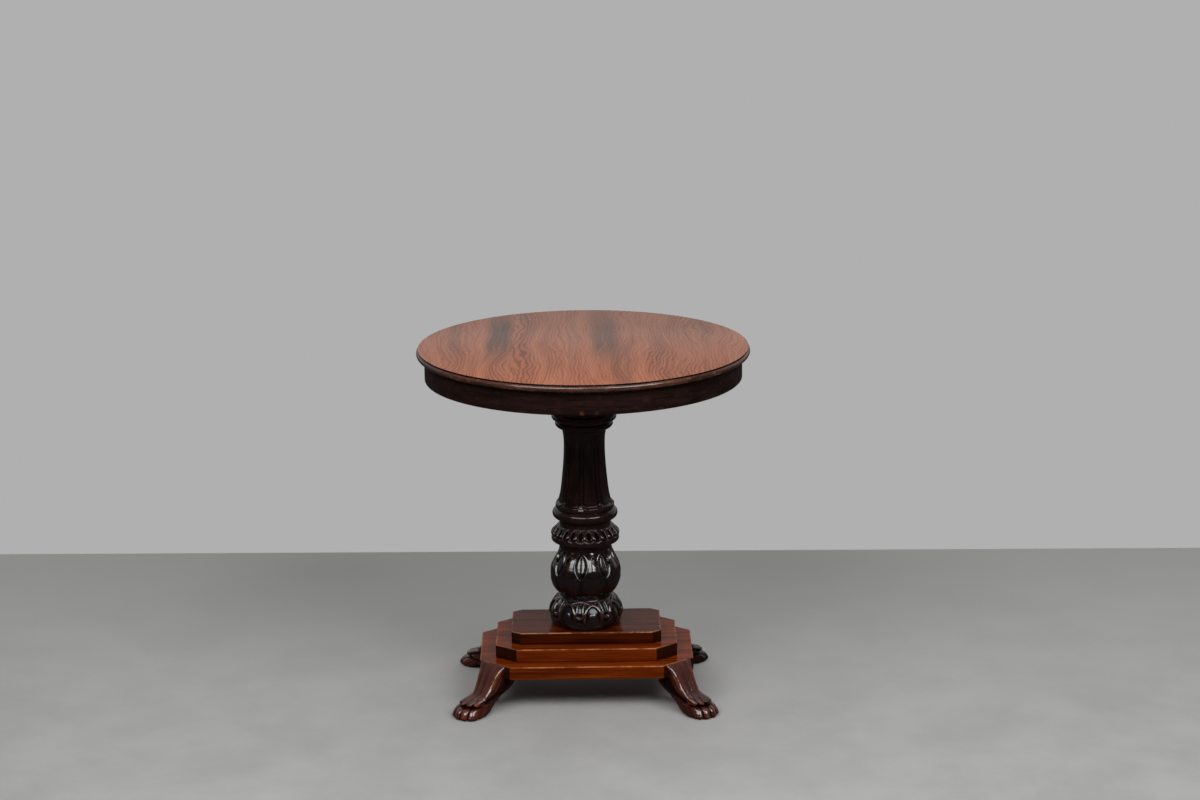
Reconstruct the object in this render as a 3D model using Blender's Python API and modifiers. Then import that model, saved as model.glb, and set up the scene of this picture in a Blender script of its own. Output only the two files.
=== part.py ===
"""Round pedestal table on a carved column, a stepped platform and four paw feet.

The top has veneer leaves, a rim moulding and a frieze.
Metres, +Z up, the front faces -Y and the floor is z = 0.
"""

from math import asin, atan2, cos, hypot, pi, radians, sin

import bmesh
import bpy
from mathutils import Matrix, Vector

# Driving sizes
TABLE_HEIGHT = 0.660
TOP_DIAMETER = 0.600
FRIEZE_HEIGHT = 0.042
COLUMN_RADIUS = 0.0667
PLATFORM_LENGTH = 0.390
PLATFORM_DEPTH = 0.238
PLATFORM_CLEARANCE = 0.066
LOWER_STEP_THICKNESS = 0.0240
MIDDLE_STEP_THICKNESS = 0.0242
UPPER_STEP_THICKNESS = 0.0222
STEP_SETBACK_X = 0.029
STEP_SETBACK_Y = 0.026
CANT_X = 0.056
CANT_Y = 0.043
VENEER_THICKNESS = 0.0024
RIM_HEIGHT = 0.0113
GROUND_THICKNESS = 0.0203
BEARER_HEIGHT = 0.0245
HUB_THICKNESS = 0.0237

# Clearances and small sizes
GAP = 0.0003
EDGE = 0.0010
VENEER_INSET = 0.0028
FRIEZE_INSET = 0.0140
FRIEZE_WALL = 0.018
RIM_LEDGE = 0.006
BEARER_WIDTH = 0.028
HUB_MARGIN = 0.005
SCREW_RADIUS = 0.0022
SCREW_HEAD_RADIUS = 0.0045
SCREW_HEAD_HEIGHT = 0.0030
DOWEL_RADIUS = 0.0050
DOWEL_LENGTH = 0.032
WEDGE_WIDTH = 0.0030
PAW_REACH = 0.082
PAW_SIDE_SHIFT = 0.014
PAW_TOP_GAP = 0.0012
PAW_DOWEL_INSET = 0.016
TOE_DEPTH = 0.0035

# Counts
RIM_SEGMENTS = 6
FRIEZE_SEGMENTS = 6
STEPS_PER_SEGMENT = 12
ROUND_STEPS = RIM_SEGMENTS * STEPS_PER_SEGMENT
PANELS = 8
COLLAR_LOBES = 20
STEPS_PER_PANEL = 6
STEPS_PER_LOBE = 3
SCREW_STEPS = 12

# Heights of the stack, from the floor up
LOWER_STEP_TOP = PLATFORM_CLEARANCE + LOWER_STEP_THICKNESS
MIDDLE_STEP_TOP = LOWER_STEP_TOP + GAP + MIDDLE_STEP_THICKNESS
UPPER_STEP_TOP = MIDDLE_STEP_TOP + GAP + UPPER_STEP_THICKNESS
COLUMN_FOOT = UPPER_STEP_TOP + GAP

# Heights of the stack, from the top down
GROUND_TOP = TABLE_HEIGHT - VENEER_THICKNESS - GAP
RIM_BOTTOM = GROUND_TOP - RIM_HEIGHT
FRIEZE_TOP = RIM_BOTTOM - GAP
FRIEZE_BOTTOM = FRIEZE_TOP - FRIEZE_HEIGHT
BEARER_TOP = GROUND_TOP - GROUND_THICKNESS - GAP
HUB_TOP = BEARER_TOP - BEARER_HEIGHT - GAP
HUB_BOTTOM = HUB_TOP - HUB_THICKNESS
COLUMN_HEAD = HUB_BOTTOM - GAP
COLUMN_HEIGHT = COLUMN_HEAD - COLUMN_FOOT

# Radii
TOP_RADIUS = TOP_DIAMETER / 2
VENEER_RADIUS = TOP_RADIUS - VENEER_INSET
FRIEZE_RADIUS = TOP_RADIUS - FRIEZE_INSET
FRIEZE_INNER_RADIUS = FRIEZE_RADIUS - FRIEZE_WALL
RIM_INNER_RADIUS = FRIEZE_INNER_RADIUS - RIM_LEDGE
GROUND_RADIUS = RIM_INNER_RADIUS - GAP
HEAD_SPIGOT_RADIUS = 0.36 * COLUMN_RADIUS
SHAFT_SPIGOT_RADIUS = 0.33 * COLUMN_RADIUS
FOOT_SPIGOT_RADIUS = 0.30 * COLUMN_RADIUS

# Where the column's pieces meet, as shares of its height
BASE_RING_END = 0.121
VASE_END = 0.328
COLLAR_END = 0.445
SHAFT_END = 0.820

# Where the veneer's outer joints lie, as a share of its radius
VENEER_JOINT = 0.43

# Turned outlines: share of the piece's height, share of the column's radius, share of the carving's depth
BASE_RING_OUTLINE = (
    (0.00, 0.70, 0.0),
    (0.05, 0.80, 0.3),
    (0.16, 0.91, 0.8),
    (0.28, 0.98, 1.0),
    (0.41, 1.00, 1.0),
    (0.58, 0.97, 1.0),
    (0.73, 0.91, 0.9),
    (0.86, 0.82, 0.5),
    (0.94, 0.74, 0.0),
    (1.00, 0.72, 0.0),
)
VASE_OUTLINE = (
    (0.00, 0.72, 0.0),
    (0.08, 0.81, 0.3),
    (0.17, 0.88, 0.7),
    (0.25, 0.93, 1.0),
    (0.34, 0.965, 1.0),
    (0.46, 0.97, 1.0),
    (0.58, 0.94, 1.0),
    (0.67, 0.88, 0.8),
    (0.76, 0.82, 0.5),
    (0.87, 0.74, 0.0),
    (1.00, 0.715, 0.0),
)
COLLAR_OUTLINE = (
    (0.00, 0.715, 0.0),
    (0.14, 0.73, 0.0),
    (0.20, 0.88, 0.6),
    (0.25, 0.93, 1.0),
    (0.36, 0.925, 1.0),
    (0.54, 0.87, 1.0),
    (0.64, 0.81, 0.6),
    (0.71, 0.73, 0.0),
    (0.80, 0.70, 0.0),
    (1.00, 0.74, 0.0),
)
SHAFT_OUTLINE = (
    (0.000, 0.76, 0.0),
    (0.025, 0.86, 0.0),
    (0.058, 0.893, 0.0),
    (0.090, 0.87, 0.0),
    (0.118, 0.77, 0.0),
    (0.130, 0.79, 0.3),
    (0.150, 0.795, 1.0),
    (0.178, 0.74, 1.0),
    (0.225, 0.705, 1.0),
    (0.31, 0.66, 1.0),
    (0.47, 0.615, 1.0),
    (0.65, 0.575, 1.0),
    (0.80, 0.56, 1.0),
    (0.93, 0.575, 0.8),
    (1.000, 0.60, 0.0),
)
CAP_OUTLINE = (
    (0.00, 0.61),
    (0.05, 0.75),
    (0.11, 0.79),
    (0.16, 0.78),
    (0.19, 0.75),
    (0.22, 0.82),
    (0.28, 0.885),
    (0.34, 0.86),
    (0.38, 0.77),
    (0.46, 0.72),
    (0.60, 0.705),
    (0.75, 0.75),
    (0.88, 0.86),
    (0.94, 0.93),
    (1.00, 0.93),
)

# Paw outline: share of the foot's height, outer face, inner face, half width, roundness, toe depth
# The faces are shares of the foot's reach from the cant, the half width is a share of half the cant.
PAW_OUTLINE = (
    (0.000, 0.915, 0.683, 0.765, 2.2, 0.6),
    (0.035, 0.976, 0.610, 0.906, 2.2, 1.0),
    (0.090, 1.000, 0.512, 0.977, 2.2, 1.0),
    (0.147, 0.963, 0.402, 0.963, 2.2, 1.0),
    (0.192, 0.854, 0.329, 0.878, 2.3, 0.8),
    (0.220, 0.720, 0.268, 0.736, 2.5, 0.0),
    (0.249, 0.707, 0.220, 0.722, 2.5, 0.0),
    (0.290, 0.780, 0.159, 0.807, 2.6, 0.7),
    (0.339, 0.720, 0.085, 0.765, 2.6, 0.5),
    (0.396, 0.561, 0.000, 0.637, 2.8, 0.0),
    (0.475, 0.415, -0.134, 0.581, 3.0, 0.0),
    (0.588, 0.280, -0.317, 0.637, 3.2, 0.0),
    (0.678, 0.195, -0.427, 0.722, 3.4, 0.0),
)
PAW_SHOULDER = (0.152, -0.488, 0.765, 3.6)
PAW_TOP = (0.061, 0.864, 4.0)
PAW_SHIFT_END = 0.7
DOWEL_SPREAD = 0.344
PAW_STEPS = 32
PAW_TOES = 4

# Carving depths of the main forms, as shares of the column's radius
PANEL_GROOVE = 0.045
LOBE_GROOVE = 0.060

# Looks: colour, roughness, metallic
FINISHES = {
    "veneer": ((0.300, 0.125, 0.072), 0.22, 0.0),
    "rim": ((0.085, 0.034, 0.022), 0.25, 0.0),
    "frieze": ((0.040, 0.016, 0.011), 0.25, 0.0),
    "column": ((0.034, 0.013, 0.008), 0.20, 0.0),
    "platform": ((0.200, 0.062, 0.014), 0.20, 0.0),
    "paw": ((0.080, 0.026, 0.014), 0.22, 0.0),
    "ground": ((0.420, 0.270, 0.140), 0.60, 0.0),
    "steel": ((0.300, 0.290, 0.280), 0.40, 1.0),
}

SCENE = bpy.context.scene
PARTS = None
CUTTERS = None


def clear_scene():
    for old in list(bpy.data.objects):
        bpy.data.objects.remove(old, do_unlink=True)


def new_collection(name):
    group = bpy.data.collections.new(name)
    SCENE.collection.children.link(group)
    return group


def paint(part, finish):
    colour, roughness, metallic = FINISHES[finish]
    material = bpy.data.materials.new(part.name + "_finish")
    material.use_nodes = True
    shader = material.node_tree.nodes["Principled BSDF"]
    shader.inputs["Base Color"].default_value = (*colour, 1.0)
    shader.inputs["Roughness"].default_value = roughness
    shader.inputs["Metallic"].default_value = metallic
    part.data.materials.append(material)


def add_part(name, mesh_tool, finish, smooth=False):
    """Makes a named part from an edited mesh, with its faces pointing out."""
    bmesh.ops.recalc_face_normals(mesh_tool, faces=mesh_tool.faces)
    mesh = bpy.data.meshes.new(name)
    mesh_tool.to_mesh(mesh)
    mesh_tool.free()
    part = bpy.data.objects.new(name, mesh)
    PARTS.objects.link(part)
    paint(part, finish)
    for face in mesh.polygons:
        face.use_smooth = smooth
    return part


def add_cutter(name, mesh_tool):
    bmesh.ops.recalc_face_normals(mesh_tool, faces=mesh_tool.faces)
    mesh = bpy.data.meshes.new(name)
    mesh_tool.to_mesh(mesh)
    mesh_tool.free()
    cutter = bpy.data.objects.new(name, mesh)
    CUTTERS.objects.link(cutter)
    cutter.hide_render = True
    cutter.display_type = "WIRE"
    return cutter


def cut(part, cutter, operation="DIFFERENCE"):
    boolean = part.modifiers.new(cutter.name, "BOOLEAN")
    boolean.object = cutter
    boolean.operation = operation
    boolean.solver = "EXACT"


def soften(part, width=EDGE, segments=1):
    bevel = part.modifiers.new("softened edges", "BEVEL")
    bevel.width = width
    bevel.segments = segments
    bevel.limit_method = "ANGLE"
    bevel.angle_limit = radians(40)


def loft(rings, closed=False):
    """Skins a row of rings of equal length. A closed row joins its ends, an open row gets end faces."""
    tool = bmesh.new()
    made = [[tool.verts.new(point) for point in ring] for ring in rings]
    pairs = list(zip(made, made[1:]))
    if closed:
        pairs.append((made[-1], made[0]))
    count = len(made[0])
    for ring, following in pairs:
        for k in range(count):
            n = (k + 1) % count
            tool.faces.new((ring[k], ring[n], following[n], following[k]))
    if not closed:
        tool.faces.new(made[0])
        tool.faces.new(made[-1])
    return tool


def box(x0, x1, y0, y1, z0, z1):
    tool = bmesh.new()
    bmesh.ops.create_cube(tool, size=1.0)
    bmesh.ops.scale(tool, vec=(x1 - x0, y1 - y0, z1 - z0), verts=tool.verts)
    centre = Vector(((x0 + x1) / 2, (y0 + y1) / 2, (z0 + z1) / 2))
    bmesh.ops.translate(tool, vec=centre, verts=tool.verts)
    return tool


def cylinder(radius, z0, z1, x=0.0, y=0.0, steps=SCREW_STEPS):
    tool = bmesh.new()
    place = Matrix.Translation((x, y, (z0 + z1) / 2))
    bmesh.ops.create_cone(
        tool,
        cap_ends=True,
        segments=steps,
        radius1=radius,
        radius2=radius,
        depth=z1 - z0,
        matrix=place,
    )
    return tool


def prism(outline, z0, z1):
    low = [Vector((x, y, z0)) for x, y in outline]
    high = [Vector((x, y, z1)) for x, y in outline]
    return loft([low, high])


def turned(name, profile, steps, finish, place=(0.0, 0.0, 0.0)):
    """Spins a profile of (radius, height) pairs, given from the top down, about the part's own axis."""
    tool = bmesh.new()
    points = [tool.verts.new((radius, 0.0, height)) for radius, height in profile]
    for upper, lower in zip(points, points[1:]):
        tool.edges.new((upper, lower))
    mesh = bpy.data.meshes.new(name)
    tool.to_mesh(mesh)
    tool.free()
    part = bpy.data.objects.new(name, mesh)
    PARTS.objects.link(part)
    part.location = place
    spin = part.modifiers.new("turning", "SCREW")
    spin.axis = "Z"
    spin.angle = 2 * pi
    spin.steps = steps
    spin.render_steps = steps
    spin.use_merge_vertices = True
    spin.merge_threshold = 0.00001
    spin.use_smooth_shade = True
    paint(part, finish)
    return part


def drill(part, radius, z0, z1, x=0.0, y=0.0, steps=SCREW_STEPS):
    bit = cylinder(radius, z0, z1, x, y, steps)
    cut(part, add_cutter(f"{part.name}_bore_{len(part.modifiers)}", bit))


def add_screw(name, x, y, head_z, tip_z):
    profile = (
        (0.0, tip_z),
        (SCREW_RADIUS, tip_z - SCREW_RADIUS),
        (SCREW_RADIUS, head_z + SCREW_HEAD_HEIGHT),
        (SCREW_HEAD_RADIUS, head_z + SCREW_HEAD_HEIGHT),
        (SCREW_HEAD_RADIUS, head_z),
        (0.0, head_z),
    )
    return turned(name, profile, SCREW_STEPS, "steel", (x, y, 0.0))


def seat_screw(head_part, head_face, tip_part, x, y, head_z, tip_z):
    """Bores the parts that hold the screw's head and its tip, with a gap round the screw."""
    shoulder = head_z + SCREW_HEAD_HEIGHT + GAP
    drill(head_part, SCREW_HEAD_RADIUS + GAP, head_face - EDGE, shoulder, x, y)
    drill(head_part, SCREW_RADIUS + GAP, head_z, tip_z + EDGE, x, y)
    drill(tip_part, SCREW_RADIUS + GAP, head_z, tip_z + GAP, x, y)


def segment(name, section, number, count, finish):
    """Sweeps a section of (radius, height) points round one share of the circle, starting at the front."""
    share = 2 * pi / count
    start = -pi / 2 + number * share
    widest = max(radius for radius, _ in section)
    slack = asin(GAP / 2 / widest)
    angles = [start + share * k / STEPS_PER_SEGMENT for k in range(STEPS_PER_SEGMENT + 1)]
    angles[0] += slack
    angles[-1] -= slack
    rings = [[Vector((r * cos(a), r * sin(a), z)) for r, z in section] for a in angles]
    return add_part(name, loft(rings), finish, smooth=False)


def build_top():
    """Veneer leaves, ground boards, rim, frieze, bearers and hub."""
    outer_edge, leaf_joint = VENEER_RADIUS + EDGE, VENEER_JOINT * VENEER_RADIUS
    leaf_edges = (-outer_edge, -leaf_joint, 0.0, leaf_joint, outer_edge)
    leaf_names = ("veneer_leaf_left", "veneer_leaf_mid_left", "veneer_leaf_mid_right", "veneer_leaf_right")
    low = GROUND_TOP + GAP
    for name, x0, x1 in zip(leaf_names, leaf_edges, leaf_edges[1:]):
        disc = cylinder(VENEER_RADIUS, low, TABLE_HEIGHT, steps=ROUND_STEPS)
        leaf = add_part(name, disc, "veneer")
        strip = box(x0 + GAP / 2, x1 - GAP / 2, -TOP_RADIUS, TOP_RADIUS, low - EDGE, TABLE_HEIGHT + EDGE)
        cut(leaf, add_cutter(name + "_strip", strip), "INTERSECT")

    ground_low = GROUND_TOP - GROUND_THICKNESS
    outer_edge, board_joint = GROUND_RADIUS + EDGE, GROUND_RADIUS / 3
    board_edges = (-outer_edge, -board_joint, board_joint, outer_edge)
    boards = []
    board_names = ("ground_board_front", "ground_board_middle", "ground_board_rear")
    for name, y0, y1 in zip(board_names, board_edges, board_edges[1:]):
        disc = cylinder(GROUND_RADIUS, ground_low, GROUND_TOP, steps=ROUND_STEPS)
        board = add_part(name, disc, "ground")
        low, high = ground_low - EDGE, GROUND_TOP + EDGE
        strip = box(-TOP_RADIUS, TOP_RADIUS, y0 + GAP / 2, y1 - GAP / 2, low, high)
        cut(board, add_cutter(name + "_strip", strip), "INTERSECT")
        boards.append(board)

    nose = RIM_HEIGHT / 2
    nose_centre = TOP_RADIUS - nose
    nose_points = 7
    rim_section = [(RIM_INNER_RADIUS, GROUND_TOP), (RIM_INNER_RADIUS, RIM_BOTTOM)]
    for k in range(nose_points):
        turn = -pi / 2 + pi * k / (nose_points - 1)
        rim_section.append((nose_centre + nose * cos(turn), RIM_BOTTOM + nose + nose * sin(turn)))
    for k in range(RIM_SEGMENTS):
        segment(f"rim_moulding_{k + 1}", rim_section, k, RIM_SEGMENTS, "rim")

    frieze_section = (
        (FRIEZE_INNER_RADIUS, FRIEZE_TOP),
        (FRIEZE_INNER_RADIUS, FRIEZE_BOTTOM),
        (FRIEZE_RADIUS - EDGE, FRIEZE_BOTTOM),
        (FRIEZE_RADIUS, FRIEZE_BOTTOM + EDGE),
        (FRIEZE_RADIUS, FRIEZE_TOP),
    )
    for k in range(FRIEZE_SEGMENTS):
        segment(f"frieze_segment_{k + 1}", frieze_section, k, FRIEZE_SEGMENTS, "frieze")

    build_supports(boards)


def build_supports(boards):
    """Two bearers across the ground boards and the hub under them, with their screws."""
    spread = HEAD_SPIGOT_RADIUS + BEARER_WIDTH
    bearer_low = BEARER_TOP - BEARER_HEIGHT
    reach = (FRIEZE_INNER_RADIUS ** 2 - (spread + BEARER_WIDTH) ** 2) ** 0.5 - 10 * EDGE
    hub_half = spread + BEARER_WIDTH / 2 + HUB_MARGIN
    block = box(-hub_half, hub_half, -hub_half, hub_half, HUB_BOTTOM, HUB_TOP)
    hub = add_part("hub_block", block, "ground")
    soften(hub, 3 * EDGE)
    drill(hub, HEAD_SPIGOT_RADIUS + GAP, HUB_BOTTOM - EDGE, HUB_TOP + EDGE, steps=PANELS * STEPS_PER_PANEL)
    screw_y = 0.65 * reach
    hub_screw_y = 0.6 * hub_half
    for side, sign in (("left", -1), ("right", 1)):
        x = sign * spread
        half = BEARER_WIDTH / 2
        bar = box(x - half, x + half, -reach, reach, bearer_low, BEARER_TOP)
        bearer = add_part(f"bearer_{side}", bar, "ground")
        soften(bearer, 2 * EDGE)
        for end, turn, board in (("front", -1, boards[0]), ("rear", 1, boards[2])):
            head = bearer_low + 0.3 * BEARER_HEIGHT
            tip = BEARER_TOP + 0.6 * GROUND_THICKNESS
            y = turn * screw_y
            add_screw(f"bearer_screw_{end}_{side}", x, y, head, tip)
            seat_screw(bearer, bearer_low, board, x, y, head, tip)
            head = HUB_BOTTOM + 0.2 * HUB_THICKNESS
            tip = HUB_TOP + 0.7 * BEARER_HEIGHT
            y = turn * hub_screw_y
            add_screw(f"hub_screw_{end}_{side}", x, y, head, tip)
            seat_screw(hub, HUB_BOTTOM, bearer, x, y, head, tip)


def column_z(share):
    return COLUMN_FOOT + share * COLUMN_HEIGHT


def groove(step, per_lobe):
    """How deep the carving goes at this step round the column: full between two lobes, none on a lobe."""
    place = step % per_lobe
    if place == 0:
        return 1.0
    return 0.0 if per_lobe < 4 or 1 < place < per_lobe - 1 else 0.12


def carved_rings(outline, start, end, count, per_lobe, depth):
    """Rings of a carved turning, from its lower end up, with a small gap left at the joint above."""
    z0, z1 = column_z(start), column_z(end) - GAP
    rings = []
    for share, radius_share, carve in outline:
        z = z0 + share * (z1 - z0)
        ring = []
        for k in range(count):
            angle = 2 * pi * k / count
            radius = COLUMN_RADIUS * (radius_share - depth * carve * groove(k, per_lobe))
            ring.append(Vector((radius * cos(angle), radius * sin(angle), z)))
        rings.append(ring)
    return rings


def plain_ring(radius, z, count):
    angles = [2 * pi * k / count for k in range(count)]
    return [Vector((radius * cos(angle), radius * sin(angle), z)) for angle in angles]


def build_column():
    """Cap, shaft, collar, vase, base ring and the wedge, joined by spigots on the axis."""
    count = PANELS * STEPS_PER_PANEL
    collar_count = COLLAR_LOBES * STEPS_PER_LOBE
    base_top = column_z(BASE_RING_END) - GAP
    socket_floor = column_z(BASE_RING_END + 0.6 * (VASE_END - BASE_RING_END))
    spigot_foot = PLATFORM_CLEARANCE + EDGE

    rings = carved_rings(BASE_RING_OUTLINE, 0.0, BASE_RING_END, count, STEPS_PER_PANEL, LOBE_GROOVE)
    bore = FOOT_SPIGOT_RADIUS + GAP
    rings += [plain_ring(bore, base_top, count), plain_ring(bore, COLUMN_FOOT, count)]
    add_part("base_ring", loft(rings, closed=True), "column", smooth=True)

    rings = [plain_ring(FOOT_SPIGOT_RADIUS, spigot_foot, count)]
    rings.append(plain_ring(FOOT_SPIGOT_RADIUS, column_z(BASE_RING_END), count))
    rings += carved_rings(VASE_OUTLINE, BASE_RING_END, VASE_END, count, STEPS_PER_PANEL, PANEL_GROOVE)
    socket = SHAFT_SPIGOT_RADIUS + GAP
    rings.append(plain_ring(socket, column_z(VASE_END) - GAP, count))
    rings.append(plain_ring(socket, socket_floor, count))
    vase = add_part("lotus_vase", loft(rings), "column", smooth=True)
    build_wedge(vase, spigot_foot)

    rings = carved_rings(COLLAR_OUTLINE, VASE_END, COLLAR_END, collar_count, STEPS_PER_LOBE, LOBE_GROOVE)
    collar_top = column_z(COLLAR_END) - GAP
    rings.append(plain_ring(socket, collar_top, collar_count))
    rings.append(plain_ring(socket, column_z(VASE_END), collar_count))
    add_part("leaf_collar", loft(rings, closed=True), "column", smooth=True)

    rings = [plain_ring(SHAFT_SPIGOT_RADIUS, socket_floor + GAP, count)]
    rings.append(plain_ring(SHAFT_SPIGOT_RADIUS, column_z(COLLAR_END), count))
    rings += carved_rings(SHAFT_OUTLINE, COLLAR_END, SHAFT_END, count, STEPS_PER_PANEL, PANEL_GROOVE)
    shaft_top = column_z(SHAFT_END) - GAP
    rings.append(plain_ring(HEAD_SPIGOT_RADIUS, shaft_top, count))
    rings.append(plain_ring(HEAD_SPIGOT_RADIUS, HUB_TOP - EDGE, count))
    add_part("fluted_shaft", loft(rings), "column", smooth=True)

    z0, z1 = column_z(SHAFT_END), COLUMN_HEAD
    bore = HEAD_SPIGOT_RADIUS + GAP
    profile = [(bore, z1)]
    profile += [(COLUMN_RADIUS * radius, z0 + share * (z1 - z0)) for share, radius in reversed(CAP_OUTLINE)]
    profile += [(bore, z0), (bore, z1)]
    turned("column_cap", profile, count, "column")


def build_wedge(vase, spigot_foot):
    """A tapered wedge in a slot across the lower end of the vase's long spigot."""
    depth = 0.75 * LOWER_STEP_THICKNESS
    half_length = 0.8 * FOOT_SPIGOT_RADIUS
    slot_half = WEDGE_WIDTH / 2 + GAP
    slot_length = half_length + GAP
    slot = box(-slot_length, slot_length, -slot_half, slot_half, spigot_foot - EDGE, spigot_foot + depth)
    cut(vase, add_cutter("wedge_slot", slot))
    low_half, high_half = WEDGE_WIDTH / 2, WEDGE_WIDTH / 4
    rings = []
    for z, half in ((spigot_foot, low_half), (spigot_foot + depth - GAP, high_half)):
        corners = ((-half_length, -half), (half_length, -half), (half_length, half), (-half_length, half))
        rings.append([Vector((x, y, z)) for x, y in corners])
    add_part("spigot_wedge", loft(rings), "ground")


def canted(half_x, half_y, cant_x, cant_y):
    """Outline of a rectangle with its corners cut off, anticlockwise from the front left."""
    return (
        (-half_x + cant_x, -half_y),
        (half_x - cant_x, -half_y),
        (half_x, -half_y + cant_y),
        (half_x, half_y - cant_y),
        (half_x - cant_x, half_y),
        (-half_x + cant_x, half_y),
        (-half_x, half_y - cant_y),
        (-half_x, -half_y + cant_y),
    )


def build_platform():
    """Three stepped tiers, bored for the column's spigot, with their screws. Returns the lower boards."""
    half_x, half_y = PLATFORM_LENGTH / 2, PLATFORM_DEPTH / 2
    bore = FOOT_SPIGOT_RADIUS + GAP
    bore_steps = PANELS * STEPS_PER_PANEL
    joint_y = -0.115 * half_y
    outline = canted(half_x, half_y, CANT_X, CANT_Y)
    lower = []
    for name, y0, y1 in (
        ("lower_step_front", -PLATFORM_DEPTH, joint_y - GAP / 2),
        ("lower_step_rear", joint_y + GAP / 2, PLATFORM_DEPTH),
    ):
        board = add_part(name, prism(outline, PLATFORM_CLEARANCE, LOWER_STEP_TOP), "platform")
        strip = box(-PLATFORM_LENGTH, PLATFORM_LENGTH, y0, y1, 0.0, LOWER_STEP_TOP + EDGE)
        cut(board, add_cutter(name + "_strip", strip), "INTERSECT")
        drill(board, bore, PLATFORM_CLEARANCE - EDGE, LOWER_STEP_TOP + EDGE, steps=bore_steps)
        lower.append(board)

    middle_x, middle_y = half_x - STEP_SETBACK_X, half_y - STEP_SETBACK_Y
    low = LOWER_STEP_TOP + GAP
    outline = canted(middle_x, middle_y, 0.70 * CANT_X, 0.70 * CANT_Y)
    middle = add_part("middle_step", prism(outline, low, MIDDLE_STEP_TOP), "platform")
    drill(middle, bore, low - EDGE, MIDDLE_STEP_TOP + EDGE, steps=bore_steps)

    upper_x, upper_y = middle_x - STEP_SETBACK_X, middle_y - STEP_SETBACK_Y
    low = MIDDLE_STEP_TOP + GAP
    outline = canted(upper_x, upper_y, 0.30 * CANT_X, 0.26 * CANT_Y)
    upper = add_part("upper_step", prism(outline, low, UPPER_STEP_TOP), "platform")
    drill(upper, bore, low - EDGE, UPPER_STEP_TOP + EDGE, steps=bore_steps)

    head = PLATFORM_CLEARANCE + 0.15 * LOWER_STEP_THICKNESS
    tip = LOWER_STEP_TOP + 0.7 * MIDDLE_STEP_THICKNESS
    for end, turn, board in (("front", -1, lower[0]), ("rear", 1, lower[1])):
        for side, sign in (("left", -1), ("right", 1)):
            x, y = sign * 0.55 * middle_x, turn * 0.55 * middle_y
            add_screw(f"step_screw_{end}_{side}", x, y, head, tip)
            seat_screw(board, PLATFORM_CLEARANCE, middle, x, y, head, tip)
    return lower


def paw_ring(frame, z, outer, inner, half_width, roundness, toe=0.0, shift=0.0):
    """One level of a paw: a rounded block between two faces, with lobes for toes round its outer side."""
    centre, half = (outer + inner) / 2, (outer - inner) / 2
    ring = []
    for k in range(PAW_STEPS):
        angle = 2 * pi * (k + 0.5) / PAW_STEPS
        c, s = cos(angle), sin(angle)
        stretch = (abs(c) ** roundness + abs(s) ** roundness) ** (-1 / roundness)
        lobe = 0.5 - 0.5 * cos(angle * 2 * PAW_TOES) if c > 0 else 0.0
        reach = 1.0 - toe * TOE_DEPTH / half * (1.0 - lobe) * max(c, 0.0)
        along = centre + half * stretch * c * reach
        across = half_width * stretch * s * reach + shift
        ring.append(frame @ Vector((along, across, z)))
    return ring


def build_paws(lower):
    """Four carved feet on the cants of the lower step, each with a shoulder under it and two dowels."""
    half_x, half_y = PLATFORM_LENGTH / 2, PLATFORM_DEPTH / 2
    middle = Vector((half_x - CANT_X / 2, -half_y + CANT_Y / 2, 0.0))
    turn = atan2(-CANT_X, CANT_Y)
    half_cant = hypot(CANT_X, CANT_Y) / 2
    top = LOWER_STEP_TOP - PAW_TOP_GAP
    shoulder = PLATFORM_CLEARANCE - GAP
    right_front = Matrix.Translation(middle) @ Matrix.Rotation(turn, 4, "Z")
    for end, depth_sign, board in (("front", 1, lower[0]), ("rear", -1, lower[1])):
        for side, side_sign in (("left", -1), ("right", 1)):
            mirror = Matrix.Diagonal((side_sign, depth_sign, 1.0, 1.0))
            frame = mirror @ right_front
            name = f"paw_foot_{end}_{side}"
            paw = add_part(name, loft(paw_rings(frame, half_cant, shoulder, top)), "paw", smooth=True)
            for mark, across in (("a", -DOWEL_SPREAD), ("b", DOWEL_SPREAD)):
                spot = frame @ Vector((-PAW_DOWEL_INSET, across * half_cant, 0.0))
                z0 = shoulder - DOWEL_LENGTH / 2
                z1 = PLATFORM_CLEARANCE + min(DOWEL_LENGTH / 2, 0.7 * LOWER_STEP_THICKNESS)
                peg = cylinder(DOWEL_RADIUS, z0, z1, spot.x, spot.y)
                add_part(f"paw_dowel_{end}_{side}_{mark}", peg, "ground", smooth=True)
                drill(paw, DOWEL_RADIUS + GAP, z0 - GAP, shoulder + EDGE, spot.x, spot.y)
                drill(board, DOWEL_RADIUS + GAP, PLATFORM_CLEARANCE - EDGE, z1 + GAP, spot.x, spot.y)


def paw_rings(frame, half_cant, shoulder, top):
    """The levels of one paw, from the floor to its shoulder under the lower step and its top on the cant."""
    rings = []
    for share, outer, inner, width, roundness, toe in PAW_OUTLINE:
        z = share * top
        shift = PAW_SIDE_SHIFT * max(0.0, 1.0 - share / PAW_SHIFT_END)
        if z < shoulder - 2 * EDGE:
            outer, inner, width = outer * PAW_REACH, inner * PAW_REACH, width * half_cant
            rings.append(paw_ring(frame, z, outer, inner, width, roundness, toe, shift))
    outer, inner, width, roundness = PAW_SHOULDER
    outer, inner, width = outer * PAW_REACH, inner * PAW_REACH, width * half_cant
    rings.append(paw_ring(frame, shoulder - GAP, outer, inner, width, roundness))
    rings.append(paw_ring(frame, shoulder, outer, GAP, width, roundness))
    outer, width, roundness = PAW_TOP
    rings.append(paw_ring(frame, top, outer * PAW_REACH, GAP, width * half_cant, roundness))
    return rings


def main():
    global PARTS, CUTTERS
    clear_scene()
    PARTS = new_collection("pedestal_table")
    CUTTERS = new_collection("cutters")
    build_top()
    build_column()
    lower = build_platform()
    build_paws(lower)


main()
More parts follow.
